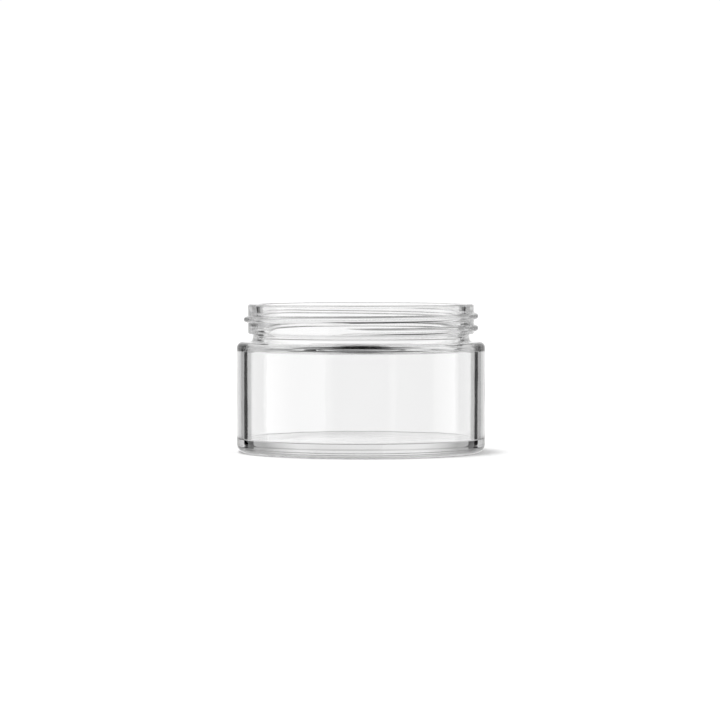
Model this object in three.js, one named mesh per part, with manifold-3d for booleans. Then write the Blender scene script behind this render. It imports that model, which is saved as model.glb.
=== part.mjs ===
// A clear, low, wide-mouth jar with a screw neck, moulded in one piece.
// Millimetres, +Z up. The origin is the centre of the ring that the jar stands on.
// The thread is right-handed: seen from above, it climbs counter-clockwise.

import * as THREE from "three";
import { mergeVertices } from "three/addons/utils/BufferGeometryUtils.js";
import Module from "manifold-3d";

// Driving dimensions
const height = 43.85;
const bodyRadius = 36.8;
const bodyWall = 3.05;
const shoulderHeight = 32.7; // top face of the shoulder
const shoulderThickness = 2.5;
const floorThickness = 4.1; // under the cavity
const neckRadius = 33.5; // the finish, between the turns of the thread
const boreRadius = 30.1;
const reliefRadius = 32.2; // the neck under the finish
const reliefTop = 35.1;
const chokeRadius = 29.2; // the bore behind the relief
const chokeTop = 35.0;
const boreBottom = 36.8;

// Rounded edges
const heelRound = 2.5;
const shoulderRound = 1.7;
const neckRoot = 1.0;
const finishRound = 0.3;
const rimRound = 0.7;
const mouthRound = 2.0; // where the bore opens into the body
const cavityRound = 0.4; // top and bottom corners of the cavity

// Push-up under the base
const pushUp = 0.6;
const pushUpRadius = 30.4;
const pushUpSlope = 1.6;

// Thread
const beadHeight = 2.05;
const beadProud = 1.3;
const pitch = 3.5;
const threadHeight = 36.8; // middle of the bead where it first passes +X
const threadSwell = 0.71; // how much the half behind climbs beyond an even pitch
const threadStart = THREE.MathUtils.degToRad(-106);
const threadEnd = THREE.MathUtils.degToRad(432);
const runOut = THREE.MathUtils.degToRad(34); // each end sinks into the neck over this turn

// Fineness
const sidesRound = 48;
const stepsPerArc = 2; // half the steps of each rounded edge
const sidesOfBead = 8;
const stepsPerTurn = 48;

const quarter = Math.PI / 2;

// The half section, from the axis under the base, round the outside, and back through the cavity.
function jarOutline() {
  const outline = new THREE.Path();
  outline.moveTo(0, pushUp);
  outline.lineTo(pushUpRadius - pushUpSlope, pushUp);
  outline.lineTo(pushUpRadius, 0);
  outsideOfBody(outline);
  outsideOfNeck(outline);
  bore(outline);
  cavity(outline);
  return outline.getPoints(stepsPerArc);
}

function outsideOfBody(outline) {
  const heelCentre = bodyRadius - heelRound;
  const shoulderCentre = bodyRadius - shoulderRound;
  outline.absarc(heelCentre, heelRound, heelRound, -quarter, 0);
  outline.absarc(shoulderCentre, shoulderHeight - shoulderRound, shoulderRound, 0, quarter);
}

function outsideOfNeck(outline) {
  const rootCentre = reliefRadius + neckRoot;
  const finishCentre = neckRadius - finishRound;
  outline.absarc(rootCentre, shoulderHeight + neckRoot, neckRoot, -quarter, -2 * quarter, true);
  outline.lineTo(reliefRadius, reliefTop);
  outline.absarc(finishCentre, reliefTop + finishRound, finishRound, -quarter, 0);
  outline.absarc(neckRadius - rimRound, height - rimRound, rimRound, 0, quarter);
}

function bore(outline) {
  const mouthHeight = shoulderHeight - shoulderThickness + mouthRound;
  outline.absarc(boreRadius + rimRound, height - rimRound, rimRound, quarter, 2 * quarter);
  outline.lineTo(boreRadius, boreBottom);
  outline.lineTo(chokeRadius, chokeTop);
  outline.absarc(chokeRadius + mouthRound, mouthHeight, mouthRound, 2 * quarter, 3 * quarter);
}

function cavity(outline) {
  const cornerCentre = bodyRadius - bodyWall - cavityRound;
  const ceiling = shoulderHeight - shoulderThickness;
  outline.absarc(cornerCentre, ceiling - cavityRound, cavityRound, quarter, 0, true);
  outline.absarc(cornerCentre, floorThickness + cavityRound, cavityRound, 0, -quarter, true);
  outline.lineTo(0, floorThickness);
}

// The middle of the thread's bead, on the neck's surface, sinking below it at both ends.
class ThreadPath extends THREE.Curve {
  getPoint(t, target = new THREE.Vector3()) {
    const angle = THREE.MathUtils.lerp(threadStart, threadEnd, t);
    const fromEnd = Math.min(angle - threadStart, threadEnd - angle);
    const sunk = beadProud * (1 - THREE.MathUtils.smoothstep(fromEnd, 0, runOut));
    const swell = (threadSwell * (1 - Math.cos(angle))) / 2;
    const radius = neckRadius - sunk;
    return target.set(
      radius * Math.cos(angle),
      radius * Math.sin(angle),
      threadHeight + (pitch * angle) / (2 * Math.PI) + swell,
    );
  }
}

function threadGeometry() {
  const section = new THREE.Shape();
  section.absellipse(0, 0, beadHeight / 2, beadProud, 0, 2 * Math.PI);
  const turns = (threadEnd - threadStart) / (2 * Math.PI);
  return new THREE.ExtrudeGeometry(section, {
    extrudePath: new ThreadPath(),
    steps: Math.round(turns * stepsPerTurn),
    curveSegments: sidesOfBead / 2,
  });
}

const wasm = await Module();
wasm.setup();

// A closed geometry as a manifold-3d solid: shared corners merged, collapsed triangles dropped.
function solidFrom(geometry) {
  geometry.deleteAttribute("normal");
  geometry.deleteAttribute("uv");
  const merged = mergeVertices(geometry, 1e-4);
  const corners = merged.index.array;
  const triangles = [];
  for (let i = 0; i < corners.length; i += 3) {
    const [a, b, c] = corners.slice(i, i + 3);
    if (a !== b && b !== c && c !== a) {
      triangles.push(a, b, c);
    }
  }
  return new wasm.Manifold(new wasm.Mesh({
    numProp: 3,
    vertProperties: new Float32Array(merged.attributes.position.array),
    triVerts: new Uint32Array(triangles),
  }));
}

function geometryFrom(solid) {
  const mesh = solid.getMesh();
  const geometry = new THREE.BufferGeometry();
  geometry.setAttribute("position", new THREE.BufferAttribute(mesh.vertProperties, 3));
  geometry.setIndex(new THREE.BufferAttribute(mesh.triVerts, 1));
  geometry.computeVertexNormals();
  return geometry;
}

function jar() {
  const turned = new THREE.LatheGeometry(jarOutline(), sidesRound);
  turned.rotateX(quarter);
  const solid = solidFrom(turned).add(solidFrom(threadGeometry()));
  const glass = new THREE.MeshStandardMaterial({
    color: 0xf4f6f6,
    roughness: 0.02,
    metalness: 0,
    transparent: true,
    opacity: 0.35,
  });
  const mesh = new THREE.Mesh(geometryFrom(solid), glass);
  mesh.name = "jar";
  return mesh;
}

const object = new THREE.Group();
object.add(jar());

export default object;
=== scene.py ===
# The looks of the clear screw-neck jar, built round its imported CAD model.
# Metres, in the CAD model's frame: +Z up, the jar's axis on Z, its foot on z = 0.

import math

import bmesh
import bpy
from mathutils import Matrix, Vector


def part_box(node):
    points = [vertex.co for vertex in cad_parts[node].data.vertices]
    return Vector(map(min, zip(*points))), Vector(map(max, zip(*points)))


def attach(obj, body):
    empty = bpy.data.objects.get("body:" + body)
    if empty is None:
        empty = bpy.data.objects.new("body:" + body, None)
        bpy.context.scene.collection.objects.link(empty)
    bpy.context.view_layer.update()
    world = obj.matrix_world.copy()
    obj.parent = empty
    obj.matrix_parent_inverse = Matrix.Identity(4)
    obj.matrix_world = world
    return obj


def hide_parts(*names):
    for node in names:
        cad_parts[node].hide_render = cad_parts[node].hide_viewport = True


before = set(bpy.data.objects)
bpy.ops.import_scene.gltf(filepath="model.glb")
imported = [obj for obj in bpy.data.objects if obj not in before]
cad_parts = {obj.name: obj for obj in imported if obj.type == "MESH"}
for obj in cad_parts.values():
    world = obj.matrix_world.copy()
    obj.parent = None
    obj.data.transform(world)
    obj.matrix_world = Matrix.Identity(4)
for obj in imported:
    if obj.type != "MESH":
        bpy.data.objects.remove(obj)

MM = 0.001
QUARTER = math.pi / 2

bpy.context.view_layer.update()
jar_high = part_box("jar")[1]
HEIGHT = jar_high.z
BODY_RADIUS = jar_high.x

# The jar's half section. Each radius and height is that of the CAD solid.
BODY_WALL = 3.05 * MM
SHOULDER_HEIGHT = 32.7 * MM
SHOULDER_THICKNESS = 2.5 * MM
FLOOR_THICKNESS = 4.1 * MM
NECK_RADIUS = 33.5 * MM
BORE_RADIUS = 30.1 * MM
RELIEF_RADIUS = 32.2 * MM
RELIEF_TOP = 35.1 * MM
CHOKE_RADIUS = 29.2 * MM
CHOKE_TOP = 35.0 * MM
BORE_BOTTOM = 36.8 * MM

HEEL_ROUND = 2.5 * MM
SHOULDER_ROUND = 1.7 * MM
NECK_ROOT = 1.0 * MM
FINISH_ROUND = 0.3 * MM
RIM_ROUND = 0.7 * MM
MOUTH_ROUND = 2.0 * MM
CAVITY_ROUND = 0.4 * MM

PUSH_UP = 0.6 * MM
PUSH_UP_RADIUS = 30.4 * MM
PUSH_UP_SLOPE = 1.6 * MM

# The thread's bead. Its section is (1 - off ** first) ** second high, off being 0 in its middle
# and 1 at its edge.
BEAD_HALF_HEIGHT = 1.03 * MM
BEAD_PROUD = 1.3 * MM
BEAD_POWERS = (2.6, 0.75)
PITCH = 3.5 * MM
THREAD_HEIGHT = 36.8 * MM
THREAD_SWELL = 0.71 * MM
THREAD_START = math.radians(-106)
THREAD_END = math.radians(432)
RUN_OUT = math.radians(34)

# Fineness of the mesh
AROUND = 320
ARC_STEPS = 8
THREAD_ROWS = 150
FLAT_STEPS = 6

# The glass: its index, how much light it takes up, and its faint waves
GLASS_INDEX = 1.5
ABSORPTION_SHADE = 0.5
ABSORPTION_PER_METRE = 7.0
WAVES_PER_METRE = 110
WAVE_HEIGHT = 0.025 * MM

# The camera
LENS_MM = 173
SENSOR_MM = 36
CAMERA_PLACE = (-0.0003, -1.025, 0.061)
CAMERA_DOWN = 1.887  # degrees below level

# The window behind the jar, in metres, with a black card at each side
WINDOW_DISTANCE = 0.2
WINDOW_FOOT = -0.06
WINDOW_TOP = 0.130
WINDOW_EDGE = 0.170
CARD_WIDTH = 0.120

# How bright the window is: full level, then what it falls to at the sides and at the top
WINDOW_LEVEL = 1.05
SIDE_FADE = (0.057, 0.120)
SIDE_SHARE = 0.47
TOP_FADE = (0.045, 0.065)
TOP_SHARE = 0.75
BRIGHTER_STRIP = (-0.045, -0.0165)
BRIGHTER_BY = 0.050
DULLER_STRIP = (0.0165, 0.036)
DULLER_BY = 0.030

# The rest of the studio, in degrees round from behind the jar and up from level
BOX_SPAN = (50, 151)
BOX_FADE = (60, 110)
BOX_FOOT = (-26, -20)
BOX_LEVELS = (1.17, 0.2)
FLOOR_EDGE = (-14, -6)
FLOOR_LEVEL = 0.76
# Steeply below, the floor that the glass sees is painted darker: a painted shadow under the jar
STEEP_SHADOW_FADE = (-44, -22)
STEEP_SHADOW_SHARE = 0.4
OVERHEAD_EDGE = (14, 20)
OVERHEAD_LEVEL = 0.9
BACK_GAP_SIDE = (136, 138)
BACK_GAP_FOOT = (32, 34)
FRONT_GAP_SPAN = (-4, 30)
FRONT_GAP_HEIGHTS = (24, 60)
BACKDROP_LEVEL = 1.03

# The floor and the lamp that draws the shadow
FLOOR_REACH = 30.0
FLOOR_DROP = 0.02 * MM  # keeps the floor clear of the jar's foot
FLOOR_SHADE = 0.9
FLOOR_GLOW = 0.13
LAMP_ENERGY = 1.53
LAMP_SPREAD = math.radians(16)
LAMP_TILT = (math.radians(2), math.radians(-7), 0)

# Light is trapped in the thick walls for many bounces, and is black if it is cut short
LIGHT_BOUNCES = 96


def arc(centre, height, radius, start, end):
    """Points of a rounded edge in the half section, from angle start to angle end."""
    points = []
    for step in range(ARC_STEPS + 1):
        angle = start + (end - start) * step / ARC_STEPS
        points.append((centre + radius * math.cos(angle), height + radius * math.sin(angle)))
    return points


def outside_low():
    """The half section from the axis under the base, up the body, to the step under the finish."""
    shoulder = SHOULDER_HEIGHT - SHOULDER_ROUND
    points = [(PUSH_UP_RADIUS * step / FLAT_STEPS, PUSH_UP) for step in range(1, FLAT_STEPS - 1)]
    points += [(PUSH_UP_RADIUS - PUSH_UP_SLOPE, PUSH_UP), (PUSH_UP_RADIUS, 0.0)]
    points += arc(BODY_RADIUS - HEEL_ROUND, HEEL_ROUND, HEEL_ROUND, -QUARTER, 0)
    points += arc(BODY_RADIUS - SHOULDER_ROUND, shoulder, SHOULDER_ROUND, 0, QUARTER)
    points += arc(RELIEF_RADIUS + NECK_ROOT, SHOULDER_HEIGHT + NECK_ROOT, NECK_ROOT, -QUARTER, -2 * QUARTER)
    points += [(RELIEF_RADIUS, RELIEF_TOP)]
    points += arc(NECK_RADIUS - FINISH_ROUND, RELIEF_TOP + FINISH_ROUND, FINISH_ROUND, -QUARTER, 0)
    return points


def finish_wall():
    """Closely spaced rows up the outside of the neck, where the thread stands out."""
    low, high = RELIEF_TOP + FINISH_ROUND, HEIGHT - RIM_ROUND
    return [(NECK_RADIUS, low + (high - low) * row / THREAD_ROWS) for row in range(1, THREAD_ROWS)]


def rim_and_inside():
    """The half section over the rim, down the bore and round the cavity to the axis."""
    top = HEIGHT - RIM_ROUND
    ceiling = SHOULDER_HEIGHT - SHOULDER_THICKNESS
    corner = BODY_RADIUS - BODY_WALL - CAVITY_ROUND
    points = arc(NECK_RADIUS - RIM_ROUND, top, RIM_ROUND, 0, QUARTER)
    points += arc(BORE_RADIUS + RIM_ROUND, top, RIM_ROUND, QUARTER, 2 * QUARTER)
    points += [(BORE_RADIUS, BORE_BOTTOM), (CHOKE_RADIUS, CHOKE_TOP)]
    points += arc(CHOKE_RADIUS + MOUTH_ROUND, ceiling + MOUTH_ROUND, MOUTH_ROUND, 2 * QUARTER, 3 * QUARTER)
    points += arc(corner, ceiling - CAVITY_ROUND, CAVITY_ROUND, QUARTER, 0)
    points += arc(corner, FLOOR_THICKNESS + CAVITY_ROUND, CAVITY_ROUND, 0, -QUARTER)
    points += [(corner * step / FLAT_STEPS, FLOOR_THICKNESS) for step in range(FLAT_STEPS - 1, 0, -1)]
    return points


def smooth(value):
    """0 below 0, 1 above 1, and an even S between."""
    value = min(max(value, 0.0), 1.0)
    return value * value * (3 - 2 * value)


def thread_relief(angle, height):
    """How far the thread's bead stands out of the neck at this place."""
    relief = 0.0
    for turn in (-1, 0, 1):
        along = angle + turn * 2 * math.pi
        from_end = min(along - THREAD_START, THREAD_END - along)
        if from_end <= 0:
            continue
        swell = THREAD_SWELL * (1 - math.cos(along)) / 2
        middle = THREAD_HEIGHT + PITCH * along / (2 * math.pi) + swell
        off = abs(height - middle) / BEAD_HALF_HEIGHT
        if off < 1:
            fullness = (1 - off ** BEAD_POWERS[0]) ** BEAD_POWERS[1]
            relief = BEAD_PROUD * smooth(from_end / RUN_OUT) * fullness
    return relief


def no_relief(angle, height):
    return 0.0


def ring(mesh, radius, height, relief):
    """One row of corners round the axis, standing out by the relief at each place."""
    corners = []
    for side in range(AROUND):
        angle = 2 * math.pi * side / AROUND
        out = radius + relief(angle, height)
        corners.append(mesh.verts.new((out * math.cos(angle), out * math.sin(angle), height)))
    return corners


def band(mesh, low, high):
    """Faces between two rows of corners."""
    for side in range(AROUND):
        after = (side + 1) % AROUND
        mesh.faces.new((low[side], low[after], high[after], high[side]))


def cap(mesh, row, height, downward):
    """Closes the middle of a face round the axis."""
    centre = mesh.verts.new((0, 0, height))
    for side in range(AROUND):
        pair = [row[side], row[(side + 1) % AROUND]]
        if downward:
            pair.reverse()
        mesh.faces.new((*pair, centre))


def jar_mesh():
    """The whole moulding as one closed mesh, with the thread raised out of the neck."""
    mesh = bmesh.new()
    rings = []
    for points, relief in ((outside_low(), no_relief), (finish_wall(), thread_relief),
                           (rim_and_inside(), no_relief)):
        rings += [ring(mesh, radius, height, relief) for radius, height in points]
    for low, high in zip(rings, rings[1:]):
        band(mesh, low, high)
    cap(mesh, rings[0], PUSH_UP, downward=True)
    cap(mesh, rings[-1], FLOOR_THICKNESS, downward=False)
    made = bpy.data.meshes.new("clear_jar")
    mesh.to_mesh(made)
    mesh.free()
    for face in made.polygons:
        face.use_smooth = True
    return made


def add_waves(tree, shader):
    """The faint, broad waves that a mould leaves in pressed glass."""
    coordinates = tree.nodes.new("ShaderNodeTexCoord")
    noise = tree.nodes.new("ShaderNodeTexNoise")
    noise.inputs["Scale"].default_value = WAVES_PER_METRE
    noise.inputs["Detail"].default_value = 1.0
    bump = tree.nodes.new("ShaderNodeBump")
    bump.inputs["Strength"].default_value = 1.0
    bump.inputs["Distance"].default_value = WAVE_HEIGHT
    tree.links.new(coordinates.outputs["Object"], noise.inputs["Vector"])
    tree.links.new(noise.outputs["Fac"], bump.inputs["Height"])
    tree.links.new(bump.outputs["Normal"], shader.inputs["Normal"])


def add_absorption(tree):
    """The neutral shade that the glass takes on where it is thick."""
    absorption = tree.nodes.new("ShaderNodeVolumeAbsorption")
    shade = ABSORPTION_SHADE
    absorption.inputs["Color"].default_value = (shade, shade, shade, 1)
    absorption.inputs["Density"].default_value = ABSORPTION_PER_METRE
    tree.links.new(absorption.outputs["Volume"], tree.nodes["Material Output"].inputs["Volume"])


def glass_material():
    """Clear, colourless, polished glass."""
    material = bpy.data.materials.new("clear_glass")
    material.use_nodes = True
    shader = material.node_tree.nodes["Principled BSDF"]
    shader.inputs["Base Color"].default_value = (1, 1, 1, 1)
    shader.inputs["Roughness"].default_value = 0.0
    shader.inputs["IOR"].default_value = GLASS_INDEX
    shader.inputs["Transmission Weight"].default_value = 1.0
    add_waves(material.node_tree, shader)
    add_absorption(material.node_tree)
    return material


def build_jar():
    jar = bpy.data.objects.new("clear_jar", jar_mesh())
    bpy.context.scene.collection.objects.link(jar)
    jar.data.materials.append(glass_material())
    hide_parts("jar")
    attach(jar, "root")


def build_camera():
    data = bpy.data.cameras.new("camera")
    data.sensor_width = SENSOR_MM
    data.lens = LENS_MM
    camera = bpy.data.objects.new("camera", data)
    camera.location = CAMERA_PLACE
    camera.rotation_euler = (math.radians(90 - CAMERA_DOWN), 0, 0)
    bpy.context.scene.collection.objects.link(camera)
    bpy.context.scene.camera = camera


class Light:
    """A node tree that works out how bright the window or the studio is, at a place or a direction."""

    def __init__(self, tree):
        self.tree = tree

    def math(self, operation, *values):
        """The output of a Math node that works on numbers and sockets."""
        node = self.tree.nodes.new("ShaderNodeMath")
        node.operation = operation
        for value, socket in zip(values, node.inputs):
            if isinstance(value, (int, float)):
                socket.default_value = value
            else:
                self.tree.links.new(value, socket)
        return node.outputs[0]

    def axes(self, coordinates):
        """The three numbers of a texture coordinate."""
        place = self.tree.nodes.new("ShaderNodeTexCoord").outputs[coordinates]
        split = self.tree.nodes.new("ShaderNodeSeparateXYZ")
        self.tree.links.new(place, split.inputs[0])
        return split.outputs

    def ramp(self, value, start, end, low=0.0, high=1.0):
        """low up to start, high from end, and an even slope between."""
        node = self.tree.nodes.new("ShaderNodeMapRange")
        node.inputs["From Min"].default_value = start
        node.inputs["From Max"].default_value = end
        node.inputs["To Min"].default_value = low
        node.inputs["To Max"].default_value = high
        self.tree.links.new(value, node.inputs["Value"])
        return node.outputs[0]

    def between(self, value, low, high, low_soft, high_soft):
        """1 between low and high, and 0 beyond the soft edges outside them."""
        rise = self.ramp(value, low - low_soft, low)
        fall = self.ramp(value, high, high + high_soft, 1.0, 0.0)
        return self.math("MULTIPLY", rise, fall)

    def product(self, *values):
        return self.chain("MULTIPLY", values)

    def brightest(self, *values):
        return self.chain("MAXIMUM", values)

    def chain(self, operation, values):
        total = values[0]
        for value in values[1:]:
            total = self.math(operation, total, value)
        return total


def stage_material(name, shade):
    """A matt material that can glow, and its shader."""
    material = bpy.data.materials.new(name)
    material.use_nodes = True
    shader = material.node_tree.nodes["Principled BSDF"]
    shader.inputs["Base Color"].default_value = (shade, shade, shade, 1)
    shader.inputs["Roughness"].default_value = 1.0
    shader.inputs["Specular IOR Level"].default_value = 0.0
    shader.inputs["Emission Color"].default_value = (1, 1, 1, 1)
    return material, shader


def stage_panel(name, corners, material):
    """A flat four-cornered piece of the studio, which isn't part of the object."""
    mesh = bpy.data.meshes.new(name)
    mesh.from_pydata(corners, [], [(0, 1, 2, 3)])
    mesh.materials.append(material)
    panel = bpy.data.objects.new(name, mesh)
    bpy.context.scene.collection.objects.link(panel)
    return panel


def window_strength(light):
    """Bright in the middle, dimmer at the sides and the top, and black on the cards."""
    across, _, up = light.axes("Object")
    off_axis = light.math("ABSOLUTE", across)
    brighter = light.product(light.between(across, *BRIGHTER_STRIP, 0.03, 0.0005), BRIGHTER_BY)
    duller = light.product(light.between(across, *DULLER_STRIP, 0.0005, 0.002), DULLER_BY)
    return light.product(
        light.ramp(off_axis, *SIDE_FADE, 1.0, SIDE_SHARE),
        light.math("SUBTRACT", light.math("ADD", WINDOW_LEVEL, brighter), duller),
        light.between(off_axis, 0, WINDOW_EDGE, 1, 0.003),
        light.ramp(up, *TOP_FADE, 1.0, TOP_SHARE),
    )


def build_window():
    """A lit panel behind the jar with a black card at each side of it, which only the glass shows."""
    side = WINDOW_EDGE + CARD_WIDTH
    foot, top = WINDOW_FOOT, WINDOW_TOP
    corners = [(-side, 0, foot), (side, 0, foot), (side, 0, top), (-side, 0, top)]
    material, shader = stage_material("window", 0)
    strength = window_strength(Light(material.node_tree))
    material.node_tree.links.new(strength, shader.inputs["Emission Strength"])
    window = stage_panel("window", corners, material)
    window.location.y = WINDOW_DISTANCE
    window.visible_camera = False
    window.visible_diffuse = False
    window.visible_shadow = False


def studio_strength(light):
    """A soft box on each side, a pale floor that is painted darker steeply below as a painted shadow under
    the jar, and a bright ceiling with a dark gap front and back.
    """
    across, along, up = light.axes("Generated")
    azimuth = light.math("MULTIPLY", light.math("ARCTAN2", across, along), 180 / math.pi)
    off_axis = light.math("ABSOLUTE", azimuth)
    elevation = light.math("MULTIPLY", light.math("ARCSINE", up), 180 / math.pi)
    boxes = light.product(
        light.ramp(off_axis, *BOX_FADE, *BOX_LEVELS),
        light.between(off_axis, *BOX_SPAN, 2, 1),
        light.ramp(elevation, *BOX_FOOT),
    )
    floor = light.product(
        light.ramp(elevation, *FLOOR_EDGE, FLOOR_LEVEL, 0.0),
        # painted shadow: the floor is darker steeply below, under the jar
        light.ramp(elevation, *STEEP_SHADOW_FADE, STEEP_SHADOW_SHARE, 1.0),
    )
    back_gap = light.product(
        light.ramp(off_axis, *BACK_GAP_SIDE),
        light.ramp(elevation, *BACK_GAP_FOOT),
    )
    front_gap = light.product(
        light.between(azimuth, *FRONT_GAP_SPAN, 1, 3),
        light.between(elevation, *FRONT_GAP_HEIGHTS, 2, 2),
    )
    overhead = light.product(
        light.ramp(elevation, *OVERHEAD_EDGE, 0.0, OVERHEAD_LEVEL),
        light.math("SUBTRACT", 1.0, light.brightest(back_gap, front_gap)),
    )
    return light.brightest(boxes, floor, overhead)


def build_world():
    """The studio for the glass and the floor, and plain white behind them for the camera."""
    world = bpy.data.worlds.new("studio")
    bpy.context.scene.world = world
    world.use_nodes = True
    tree = world.node_tree
    shown = tree.nodes.new("ShaderNodeMix")
    seen = tree.nodes.new("ShaderNodeLightPath").outputs["Is Camera Ray"]
    tree.links.new(seen, shown.inputs["Factor"])
    tree.links.new(studio_strength(Light(tree)), shown.inputs["A"])
    shown.inputs["B"].default_value = BACKDROP_LEVEL
    tree.links.new(shown.outputs["Result"], tree.nodes["Background"].inputs["Strength"])
    tree.nodes["Background"].inputs["Color"].default_value = (1, 1, 1, 1)


def build_floor():
    """A pale floor that takes the jar's soft shadow. The glass looks past it at the studio."""
    reach = FLOOR_REACH
    corners = [(-reach, -reach, 0), (reach, -reach, 0), (reach, reach, 0), (-reach, reach, 0)]
    material, shader = stage_material("floor", FLOOR_SHADE)
    shader.inputs["Emission Strength"].default_value = FLOOR_GLOW
    floor = stage_panel("floor", corners, material)
    floor.location.z = -FLOOR_DROP
    floor.visible_transmission = False
    floor.visible_glossy = False


def build_lamp():
    """A broad lamp high on the left, which draws the soft shadow on the right of the jar."""
    data = bpy.data.lights.new("lamp", "SUN")
    data.energy = LAMP_ENERGY
    data.angle = LAMP_SPREAD
    lamp = bpy.data.objects.new("lamp", data)
    lamp.rotation_euler = LAMP_TILT
    lamp.visible_glossy = False
    lamp.visible_transmission = False
    bpy.context.scene.collection.objects.link(lamp)


def set_up_light():
    scene = bpy.context.scene
    scene.cycles.max_bounces = LIGHT_BOUNCES
    scene.cycles.glossy_bounces = LIGHT_BOUNCES
    scene.cycles.transmission_bounces = LIGHT_BOUNCES
    scene.view_settings.view_transform = "Standard"


build_camera()
build_jar()
build_floor()
build_lamp()
build_window()
build_world()
set_up_light()
